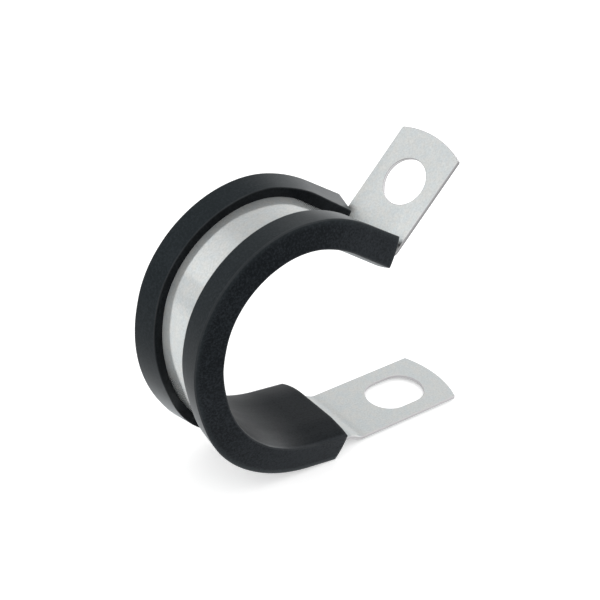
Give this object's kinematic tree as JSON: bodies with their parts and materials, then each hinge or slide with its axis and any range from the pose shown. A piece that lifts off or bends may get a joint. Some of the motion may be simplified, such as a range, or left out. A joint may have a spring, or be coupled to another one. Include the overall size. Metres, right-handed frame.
{
  "type": "p clip",
  "caption": "Cushioned P clip, shown open: a folded steel strap with a slotted lower tab and a holed upper tab, its loop lined with a black rubber channel.",
  "frame": {"origin": "middle of the lower tab's slot, on the face that lies on the mounting surface", "axes": "+X along the lower tab away from the loop, +Y along the held pipe or cable, +Z away from the mounting surface; the clip is the same on both sides of Y = 0"},
  "size_m": [0.0562, 0.0168, 0.0485],
  "materials": {
    "zinc_plated_steel": "pale, slightly cool zinc plate, satin",
    "black_rubber": "matt, near black, with a soft sheen at grazing angles"
  },
  "bodies": {
    "root": {"steel_strap": "zinc_plated_steel", "rubber_cushion": "black_rubber"}
  },
  "joints": []
}
